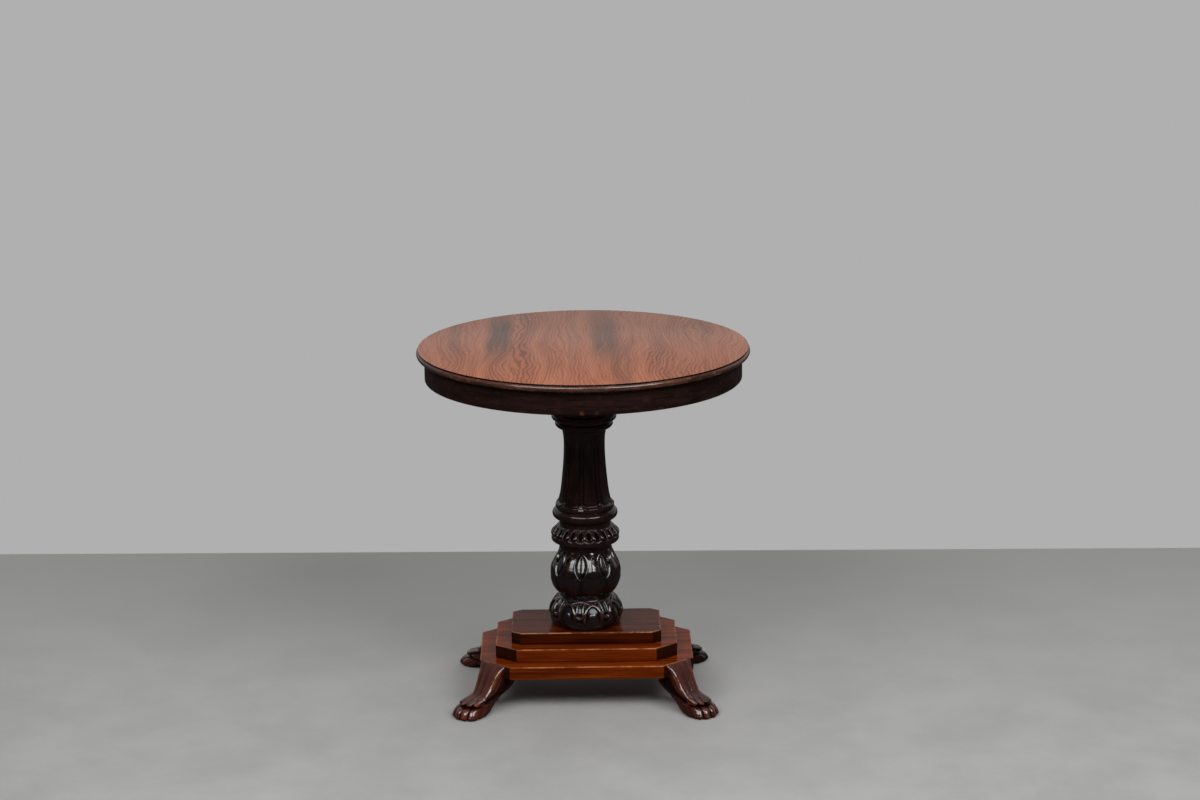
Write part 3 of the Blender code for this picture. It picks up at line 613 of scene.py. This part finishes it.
def carve_base_ring(theta, z, r):
    """Domes and pendant tongues under ribbons that cross over each dome and part around it. Millimetres."""
    angle = fold(theta - RING_TURN, LEAVES)
    half = pi / LEAVES * r
    across = np.abs(angle) * r
    off_dome = half - across

    scallop = 189.0 - 5.5 * (across / half) ** 2
    under = smooth(scallop, scallop - 2.5, z)
    depth = -2.6 * under * smooth(140.0, 149.0, z)

    width, rise = 12.6, 24.0
    dome = bead(np.hypot(off_dome / width, np.maximum(z - 149.0, 0.0) / rise), 1.0, 2)
    depth = np.maximum(depth, (3.3 * dome - 2.6) * smooth(138.0, 149.0, z))

    width, rise = 16.6, 28.0
    sideways, lift = off_dome / width, np.maximum(z - 156.0, 0.0) / rise
    from_centre = np.hypot(sideways, lift) + 0.001
    from_ribbon = (from_centre - 1.0) * from_centre / np.hypot(sideways / width, lift / rise)
    depth = np.maximum(depth, (4.4 * bead(from_ribbon, 3.1) - 2.4) * smooth(150.0, 157.0, z))
    depth = np.maximum(depth, 3.2 * bead(z - scallop, 2.4) - 1.6)

    tongue = np.hypot(across, np.minimum(z - 167.0, 0.0)) - 5.6
    depth = np.maximum(depth, (4.2 * bead(tongue, 2.6) - 2.4) * under)
    return depth * smooth(137.2, 141.0, z)


def carve_collar(theta, z, r):
    """A row of lobes, each with an upright keyhole slot, over a plain fillet. Millimetres."""
    across = fold(theta, COLLAR_LOBES) * r
    half = pi / COLLAR_LOBES * r
    edge = 307.6 + 3.4 * (across / half) ** 2
    band = smooth(edge - 0.6, edge + 1.6, z) * smooth(326.5, 323.5, z)
    lobe = np.sqrt(np.clip(1.0 - (across / half) ** 2, 0.0, 1.0))
    depth = band * (0.3 + (0.1 + 1.0 * smooth(318.0, 311.5, z)) * lobe) - 1.5 * bell(z - edge + 1.2, 1.2)
    depth = depth - band * 0.5 * bell(half - np.abs(across), 1.6) * smooth(318.0, 311.5, z)
    reach = np.maximum(313.2 - z, 0.0)
    slot = np.hypot(across, reach) - 3.1 * smooth(323.5, 319.5, z)
    depth = depth + 0.9 * bell(slot - 1.3, 1.1) * band * smooth(317.0, 312.0, z)
    return depth - 6.5 * smooth(0.7, -1.2, slot) * smooth(326.0, 324.0, z)


def carve_shaft(theta, z, r):
    """Eight wide panels between narrow reeds, each panel ending below in a raised lip. Millimetres."""
    across = np.abs(fold(theta, LEAVES) * r)
    half = pi / LEAVES * r
    upright = smooth(367.0, 374.0, z) * smooth(500.0, 470.0, z)
    depth = upright * (0.5 * bell(across, 2.0) - 1.4 * bell(across - 3.8, 1.9))
    depth = depth - 0.9 * upright * bell(half - across, 0.60 * half)
    panel = smooth(1.0, 4.0, across)
    lip = 365.5 + 9.0 * np.clip(1.0 - across / 11.0, 0.0, 1.0) ** 2
    return depth + panel * (1.8 * bell(z - lip, 1.9) - 1.1 * bell(z - lip - 4.2, 2.4))


def build_column():
    """Cap, shaft, collar, vase and base ring, and the vase's spigot through the platform."""
    finish = carved_material(
        "carved_column_finish", (0.0044, 0.0020, 0.0017), (0.0078, 0.0031, 0.0025), (0.014, 0.0052, 0.0040),
        (0.060, 0.019, 0.010), "Z", 1.3, 0.16, 0.85)
    shaft_finish = carved_material(
        "column_shaft_finish", (0.0076, 0.0034, 0.0030), (0.0165, 0.0062, 0.0051), (0.027, 0.0096, 0.0077),
        (0.046, 0.016, 0.010), "Z", 2.2, 0.17, 0.42)
    pieces = (
        ("base_ring", BASE_RING_MM, carve_base_ring, 0.6, CARVED_STEPS, finish),
        ("lotus_vase", VASE_MM, carve_vase, 0.6, CARVED_STEPS, finish),
        ("leaf_collar", COLLAR_MM, carve_collar, 0.6, CARVED_STEPS, shaft_finish),
        ("fluted_shaft", SHAFT_MM, carve_shaft, 0.9, CARVED_STEPS, shaft_finish),
        ("column_cap", CAP_MM, None, 1.0, PLAIN_STEPS, shaft_finish),
    )
    for node, runs, carve, spacing, steps, wood in pieces:
        mesh = turned_mesh(node + "_carved", runs, carve, spacing, steps)
        add_piece(mesh, wood, "column_wood", node)
    wedge_low, wedge_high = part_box("spigot_wedge")
    slot = bpy.data.meshes.new("wedge_slot")
    tool = bmesh.new()
    bmesh.ops.create_cube(tool, size=1.0)
    size = wedge_high - wedge_low + Vector((2 * JOINT, 2 * JOINT, 2 * JOINT))
    bmesh.ops.scale(tool, vec=size, verts=tool.verts)
    bmesh.ops.translate(tool, vec=(wedge_low + wedge_high) / 2, verts=tool.verts)
    tool.to_mesh(slot)
    tool.free()
    spigot = rod(SPIGOT_RADIUS, SPIGOT_FOOT, 0.1915)
    spigot.name = "lotus_vase_spigot"
    add_piece(cut_with(spigot, [slot]), finish, "column_wood", "lotus_vase")


# Platform
def canted(half_x, half_y, cant_x, cant_y):
    return [
        (-half_x + cant_x, -half_y),
        (half_x - cant_x, -half_y),
        (half_x, -half_y + cant_y),
        (half_x, half_y - cant_y),
        (half_x - cant_x, half_y),
        (-half_x + cant_x, half_y),
        (-half_x, half_y - cant_y),
        (-half_x, -half_y + cant_y),
    ]


def drawn_in(corners, distances):
    """The corners of a polygon whose edges are moved inwards, edge k running from corner k to the next."""
    corners = np.array(corners, float)
    count = len(corners)
    edges = np.roll(corners, -1, axis=0) - corners
    inward = np.stack((-edges[:, 1], edges[:, 0]), axis=-1) / np.hypot(*edges.T)[:, None]
    moved = []
    for k in range(count):
        a, b = inward[k - 1], inward[k]
        offsets = np.array((distances[k - 1], distances[k]))
        moved.append(corners[k] + np.linalg.solve(np.array((a, b)), offsets))
    return np.array(moved)


def rounded_outline(corners, counts, radius=0.0016, arc_steps=5):
    """Points along a polygon with its corners rounded, with a given number of steps on each edge."""
    outline = []
    for k, here in enumerate(corners):
        before, after = corners[k - 1], corners[(k + 1) % len(corners)]
        arrive = (here - before) / np.linalg.norm(here - before)
        leave = (after - here) / np.linalg.norm(after - here)
        start, end = here - radius * arrive, here + radius * leave
        for t in np.linspace(0.0, 1.0, arc_steps):
            outline.append((1 - t) ** 2 * start + 2 * t * (1 - t) * here + t * t * end)
        goal = after - radius * leave
        for t in np.linspace(0.0, 1.0, counts[k] + 1)[1:-1]:
            outline.append(end + t * (goal - end))
    return np.array(outline)


def board_mesh(name, corners, low, high, shares, seed):
    """A board with eased, slightly worn arrises. Shares scale the easing of each edge."""
    ease, band, spacing = 0.0013, 0.0045, 0.004
    levels = (
        (ease, low, 0.3), (0.3 * ease, low + 0.3 * ease, 0.6), (0.0, low + ease, 0.3), (0.0, low + band, 0.0),
        (0.0, high - band, 0.0), (0.0, high - 1.6 * ease, 0.35), (0.05 * ease, high - ease, 0.8),
        (0.3 * ease, high - 0.3 * ease, 1.0), (ease, high - 0.05 * ease, 0.8), (1.6 * ease, high, 0.35),
        (band, high, 0.0),
    )
    corners = np.array(corners, float)
    edges = np.linalg.norm(np.roll(corners, -1, axis=0) - corners, axis=1)
    counts = [max(2, int(length / spacing)) for length in edges]
    plain = rounded_outline(corners, counts)
    wear = np.array([noise.noise(Vector((p[0] * 60 + seed, p[1] * 60, seed))) for p in plain])
    dents = np.array([noise.noise(Vector((p[0] * 260 + seed, p[1] * 260, 2 * seed))) for p in plain])
    rub = (1.0 + 0.55 * wear + 0.5 * dents)[:, None]
    rings, relief = [], []
    for inset, z, worn in levels:
        outline = rounded_outline(drawn_in(corners, [inset * share for share in shares]), counts)
        outline = plain + (outline - plain) * (rub if worn > 0.2 else 1.0)
        rings.append(np.c_[outline, np.full(len(outline), z)])
        relief.append(np.full(len(outline), worn if z > (low + high) / 2 else 0.6 * worn))
    return mesh_from_rings(name, np.array(rings), np.array(relief))


def build_platform():
    """Three tiers of canted boards, bored for the spigot, the lower one of two boards with screw holes below."""
    bore = SPIGOT_RADIUS + JOINT
    outer = canted(PLATFORM_HALF_X, PLATFORM_HALF_Y, CANT_X, CANT_Y)
    front_edge, rear_edge = LOWER_JOINT_Y - JOINT / 2, LOWER_JOINT_Y + JOINT / 2
    half_x = PLATFORM_HALF_X
    front = [outer[7], outer[0], outer[1], outer[2], (half_x, front_edge), (-half_x, front_edge)]
    rear = [outer[3], outer[4], outer[5], outer[6], (-half_x, rear_edge), (half_x, rear_edge)]
    screws = [f"step_screw_{end}_{side}" for end in ("front", "rear") for side in ("left", "right")]
    joint_share = 0.05
    for node, corners, seed in (("lower_step_front", front, 1.0), ("lower_step_rear", rear, 2.0)):
        low, high = STEP_LEVELS[0]
        shares = (1.0, 1.0, 1.0, 1.0, joint_share, 1.0)
        mesh = board_mesh(node + "_worn", corners, low, high, shares, seed)
        cutters = [rod(bore, low - 0.01, high + 0.01)]
        for screw in screws:
            if node.split("_")[-1] in screw:
                screw_low, screw_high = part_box(screw)
                middle = (screw_low + screw_high) / 2
                head = (screw_high.x - screw_low.x) / 2 + JOINT
                cutters.append(rod(head, low - 0.01, high - 0.002, middle.x, middle.y, 24))
        add_piece(cut_with(mesh, cutters), stepped_material(node + "_finish", "X", seed, 1.0), "platform_wood", node)
    # The middle and upper tiers are darker copies of the same wood, scaled by their shade: painted shade, strongest on
    # the upper tier.
    for number, node, cant, shade in ((1, "middle_step", (0.70, 0.70), 0.95), (2, "upper_step", (0.30, 0.26), 0.42)):
        low, high = STEP_LEVELS[number]
        corners = canted(PLATFORM_HALF_X - number * SETBACK_X, PLATFORM_HALF_Y - number * SETBACK_Y,
                         cant[0] * CANT_X, cant[1] * CANT_Y)
        mesh = board_mesh(node + "_worn", corners, low, high, [1.0] * len(corners), 2.0 + number)
        mesh = cut_with(mesh, [rod(bore, low - 0.01, high + 0.01)])
        add_piece(mesh, stepped_material(node + "_finish", "X", 2.0 + number, shade), "platform_wood", node)


# Paws: share of the height, outer face, inner face, half width, roundness
PAW_OUTLINE = (
    (0.000, 0.890, 0.280, 0.700, 2.2),
    (0.010, 0.932, 0.250, 0.790, 2.2),
    (0.030, 0.965, 0.215, 0.870, 2.2),
    (0.065, 0.982, 0.160, 0.925, 2.2),
    (0.105, 0.965, 0.090, 0.925, 2.2),
    (0.150, 0.940, 0.015, 0.900, 2.2),
    (0.195, 0.895, -0.045, 0.860, 2.3),
    (0.220, 0.825, -0.085, 0.810, 2.4),
    (0.236, 0.690, -0.120, 0.745, 2.5),
    (0.252, 0.625, -0.150, 0.700, 2.5),
    (0.266, 0.680, -0.170, 0.725, 2.5),
    (0.280, 0.765, -0.190, 0.775, 2.6),
    (0.302, 0.805, -0.220, 0.800, 2.6),
    (0.330, 0.800, -0.255, 0.790, 2.7),
    (0.358, 0.745, -0.285, 0.750, 2.9),
    (0.385, 0.665, -0.310, 0.690, 3.2),
    (0.412, 0.585, -0.330, 0.645, 3.5),
    (0.473, 0.480, -0.375, 0.600, 4.2),
    (0.540, 0.412, -0.415, 0.590, 5.2),
    (0.588, 0.366, -0.440, 0.590, 5.6),
    (0.653, 0.315, -0.470, 0.600, 6.0),
    (0.705, 0.280, -0.484, 0.615, 6.0),
    (0.740, 0.255, -0.488, 0.630, 6.0),
    (0.800, 0.215, -0.488, 0.660, 6.0),
    (0.860, 0.168, -0.488, 0.700, 6.0),
    (0.920, 0.112, -0.488, 0.750, 6.0),
    (0.960, 0.070, -0.488, 0.810, 6.0),
    (1.000, 0.018, -0.488, 0.870, 6.0),
)
SHOULDER_Z = 0.0657
# Each paw's side and depth signs, reach, heel trim, and the shift of its leg and its toes along the cant
PAWS = {
    "paw_foot_front_left": (-1, 1, 1.00, 0.00, 0.12, 0.56),
    "paw_foot_front_right": (1, 1, 1.00, 0.00, 0.00, 0.34),
    "paw_foot_rear_left": (-1, -1, 1.20, 0.30, 0.04, 0.10),
    "paw_foot_rear_right": (1, -1, 1.20, 0.28, -0.06, -0.20),
}


def paw_mesh(name, place, reach, heel, leg_shift, toe_shift, seed):
    """One carved paw: four toes, a lobed cuff over a recess darkened with painted shade, tendons and hair up a square
    leg.
    """
    half_cant = hypot(CANT_X, CANT_Y) / 2
    table = np.array(PAW_OUTLINE)
    shoulder = SHOULDER_Z / PAW_TOP
    levels = np.concatenate((np.linspace(0.0, 0.42, 100), np.linspace(0.42, 1.0, 60)[1:], (shoulder - 0.003, shoulder)))
    angle = np.linspace(0.0, 2 * pi, PAW_STEPS, endpoint=False)
    c, s = np.cos(angle), np.sin(angle)
    outward = smooth(0.05, 0.45, c)
    rings, relief, grain = [], [], []
    for share in np.sort(levels):
        roundness = monotone(table[:, 0], table[:, 4], np.array([share]))
        roundness = roundness + HEEL_SQUARENESS * (c < 0.0)
        stretch = (np.abs(c) ** roundness + np.abs(s) ** roundness) ** (-1.0 / roundness)
        across = s * stretch
        within_toe = 2.0 * (((across + 1.0) * TOES / 2) % 1.0) - 1.0
        lobe = np.sqrt(np.clip(1.0 - within_toe ** 2, 0.0, 1.0))
        hanging = smooth(0.24, 0.27, share) * smooth(0.40, 0.32, share)
        look = np.clip(share + 0.024 * (lobe - 0.5) * outward * hanging, 0.0, 1.0)
        outer, inner, width = (monotone(table[:, 0], table[:, k], look) for k in (1, 2, 3))
        inner = inner + heel * smooth(0.46, 0.28, share)
        rearward = (1.0 - c) / 2
        width = width * (1.0 + 0.20 * rearward * smooth(0.44, 0.54, share) * smooth(0.82, 0.76, share))
        width = width * (1.0 - 0.20 * rearward * smooth(0.46, 0.32, share))
        width = width + 0.13 * bell(share - 0.250, 0.035) * smooth(0.1, -0.5, s)
        stride = PAW_REACH * (1.0 + (reach - 1.0) * smooth(0.60, 0.30, share))
        centre = (outer + inner) / 2 * stride
        half = (outer - inner) / 2 * stride

        toe_zone = smooth(0.245, 0.205, share)
        cuff_zone = smooth(0.250, 0.280, share) * smooth(0.43, 0.34, share)
        tendon_zone = smooth(0.32, 0.40, share) * smooth(0.62, 0.44, share)
        leg_zone = smooth(0.36, 0.50, share) * smooth(1.0, 0.90, share)
        groove = (1.0 - lobe) * outward
        carve = -(0.0050 * toe_zone + 0.0056 * cuff_zone + 0.0008 * tendon_zone) * groove
        edge_ridges = 0.0008 * bell(np.abs(across) - 0.84, 0.14) - 0.0010 * bell(across, 0.45)
        carve = carve + leg_zone * outward * edge_ridges
        ripple = np.array([noise.noise(Vector((a * 9.0, share * 3.5, seed))) for a in angle])
        carve = carve + 0.0005 * ripple * smooth(0.27, 0.36, share) * smooth(0.95, 0.60, share)

        side = half_cant * (leg_shift + (toe_shift - leg_shift) * smooth(0.50, 0.22, share))
        along_foot = centre + (half * stretch + carve) * c
        across_foot = (width * half_cant * stretch + carve) * s + side
        if share >= shoulder:
            along_foot = np.maximum(along_foot, JOINT)
        points = np.stack((along_foot, across_foot, np.full_like(angle, share * PAW_TOP), np.ones_like(angle)))
        rings.append((np.array(place) @ points)[:3].T)
        girth = PAW_GIRTH * stretch
        grain.append(np.stack((girth * c + seed, girth * s, np.full_like(angle, share * PAW_TOP)), axis=-1))
        corner = smooth(0.60, 0.97, 2.0 * np.abs(c * s)) * leg_zone
        # The crowns of the toes and cuff lobes take the worn colour, partly wear and partly a painted highlight; the
        # leg's corners take wear.
        raised = lobe * outward * (0.55 * toe_zone + 0.75 * cuff_zone) + 0.42 * corner
        # Painted shade: a band at the height of the gap under the cuff is painted dark most of the way round, also
        # where the shape has no hollow.
        recess = bell(share - 0.250, 0.026) * smooth(-1.0, -0.4, s)
        # Painted shade: the sides of the leg above the cuff are painted darker, its rear less so.
        painted_flank_shade = smooth(0.66, 0.50, c) * smooth(-1.3, -0.5, c) * smooth(0.26, 0.40, share)
        relief.append(np.clip(carve / 0.003 + raised - 1.5 * recess - 0.70 * painted_flank_shade, -1.0, 1.0))
    rings, relief, grain = np.array(rings), np.array(relief), np.array(grain)
    if Matrix(place).determinant() < 0:
        rings, relief, grain = rings[:, ::-1], relief[:, ::-1], grain[:, ::-1]
    return mesh_from_rings(name, rings, relief, grain)


def build_paws():
    """Four paws on the cants, each a mirror image of its neighbours with its own hair."""
    middle = Vector((PLATFORM_HALF_X - CANT_X / 2, -PLATFORM_HALF_Y + CANT_Y / 2, 0.0))
    right_front = Matrix.Translation(middle) @ Matrix.Rotation(atan2(-CANT_X, CANT_Y), 4, "Z")
    finish = carved_material(
        "paw_finish", (0.029, 0.0064, 0.0045), (0.080, 0.0160, 0.0094), (0.170, 0.040, 0.014),
        (0.30, 0.085, 0.018), "Z", 4.4, 0.15, 0.75, wear=(0.25, 0.95), bent=True)
    # The rear right paw gets a darker, duller copy of the finish: painted shade, as it stands in shadow.
    painted_shade_finish = carved_material(
        "painted_shade_paw_finish", (0.008, 0.0028, 0.0020), (0.022, 0.0064, 0.0036), (0.042, 0.012, 0.0054),
        (0.08, 0.025, 0.009), "Z", 4.9, 0.22, 0.25, wear=(0.25, 0.95), bent=True)
    for number, (node, (side, depth, *stance)) in enumerate(PAWS.items()):
        place = Matrix.Diagonal((side, depth, 1.0, 1.0)) @ right_front
        mesh = paw_mesh(node + "_carved", place, *stance, 3.7 * (number + 1))
        add_piece(mesh, painted_shade_finish if node == "paw_foot_rear_right" else finish, "paw_wood", node)


def dress_hidden_nodes():
    """Bare wood and steel for the CAD pieces that stay: the framing under the top, dowels, wedge and screws."""
    bare = {}
    for axis in "XYZ":
        bare[axis] = polished_wood(
            "bare_wood_" + axis.lower(), (0.27, 0.155, 0.072), (0.40, 0.25, 0.125), (0.50, 0.33, 0.18), axis, 6.1,
            roughness=0.62, figure=(5.0, 70.0))[0]
    steel = steel_material()
    axes = {"ground": "X", "bearer": "Y", "hub": "X", "paw": "Z", "spigot": "Z"}
    for name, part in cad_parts.items():
        if part.hide_render:
            continue
        finish = steel if "screw" in name else bare[axes[name.split("_")[0]]]
        part.material_slots[0].material = finish


# Studio
def stage_floor():
    """A pale floor that ends behind the table, where the plain grey surround takes over."""
    half, far, lean = 14.0, 0.848, -0.0205
    mesh = bpy.data.meshes.new("studio_floor")
    corners = ((-half, -half, 0.0), (half, -half, 0.0), (half, far + lean * half, 0.0), (-half, far - lean * half, 0.0))
    mesh.from_pydata(corners, [], [(0, 1, 2, 3)])
    floor = bpy.data.objects.new("studio_floor", mesh)
    SCENE.collection.objects.link(floor)
    material, tree, shader, coords = start_material("studio_floor_finish", 0.80)
    shader.inputs["Specular IOR Level"].default_value = 0.1
    place = add_node(tree, "ShaderNodeSeparateXYZ", ((0, coords),))
    mottle = grain_noise(tree, coords, (5.0, 5.0, 5.0), detail=6.0, roughness=0.65)
    tone = mix(tree, remap(tree, mottle, 0.3, 0.7), (0.390, 0.389, 0.384), (0.447, 0.445, 0.438))
    tone = mix(tree, remap(tree, place.outputs[1], -0.4, 0.9, 0.0, 0.85), tone, (0.425, 0.423, 0.416))
    # Painted shade in reflections: where the floor is seen in a reflection it is painted nearly black.
    dark_in_reflections = add_node(tree, "ShaderNodeLightPath").outputs["Is Glossy Ray"]
    tone = mix(tree, math_node(tree, "MULTIPLY", dark_in_reflections, 0.92), tone, (0.015, 0.015, 0.015))
    tree.links.new(tone, shader.inputs["Base Color"])
    mesh.materials.append(material)


def add_softbox(name, place, aim, width, height, radiance):
    """A rectangular light of a given brightness, turned towards a point and not seen itself."""
    light = bpy.data.lights.new(name, "AREA")
    light.shape = "RECTANGLE"
    light.size, light.size_y = width, height
    light.energy = radiance * pi * width * height
    lamp = bpy.data.objects.new(name, light)
    lamp.location = place
    lamp.rotation_euler = (Vector(aim) - Vector(place)).to_track_quat("-Z", "Y").to_euler()
    lamp.visible_camera = False
    SCENE.collection.objects.link(lamp)


def stage_light():
    """Soft light from the front and above, and a grey surround that is dark low in front."""
    add_softbox("key_right", (1.80, -2.48, 2.92), (0.0, 0.0, 0.35), 2.3, 1.5, 7.5)
    add_softbox("key_left", (-1.30, -2.72, 2.97), (0.0, 0.0, 0.35), 3.2, 1.3, 6.5)
    add_softbox("overhead", (0.0, -0.2, 4.2), (0.0, 0.0, 0.3), 4.0, 3.0, 0.8)
    world = bpy.data.worlds.new("studio_surround")
    SCENE.world = world
    world.use_nodes = True
    tree = world.node_tree
    background = tree.nodes["Background"]
    direction = add_node(tree, "ShaderNodeTexCoord").outputs["Generated"]
    split = add_node(tree, "ShaderNodeSeparateXYZ", ((0, direction),))
    behind = remap(tree, split.outputs[1], 0.15, 0.65)
    behind = math_node(tree, "MULTIPLY", behind, remap(tree, split.outputs[2], -0.12, 0.06))
    above = remap(tree, split.outputs[2], 0.20, 0.75)
    dim = math_node(tree, "MULTIPLY", above, 0.45)
    tone = mix(tree, math_node(tree, "MAXIMUM", behind, dim), (0.035, 0.035, 0.035), (0.43, 0.43, 0.43))
    paths = add_node(tree, "ShaderNodeLightPath")
    tone = mix(tree, math_node(tree, "MULTIPLY", paths.outputs["Is Diffuse Ray"], 0.55), tone, (0.0, 0.0, 0.0))
    tone = mix(tree, paths.outputs["Is Camera Ray"], tone, (0.434, 0.434, 0.434))
    tree.links.new(tone, background.inputs[0])


def stage_camera():
    """The photograph's viewpoint: 75 mm lens, a little above the top, turned and rolled slightly."""
    data = bpy.data.cameras.new("camera")
    data.lens = 75.0
    data.sensor_width = 36.0
    camera = bpy.data.objects.new("camera", data)
    pitch, yaw, roll = radians(14.30), radians(-0.385), radians(-0.55)
    turn = Matrix.Rotation(yaw, 4, "Z") @ Matrix.Rotation(pi / 2 - pitch, 4, "X") @ Matrix.Rotation(roll, 4, "Z")
    camera.matrix_world = Matrix.Translation((0.0, -4.383, 1.675)) @ turn
    SCENE.collection.objects.link(camera)
    SCENE.camera = camera


build_veneer()
build_rim_and_frieze()
build_column()
build_platform()
build_paws()
dress_hidden_nodes()
stage_floor()
stage_light()
stage_camera()
SCENE.view_settings.view_transform = "Standard"
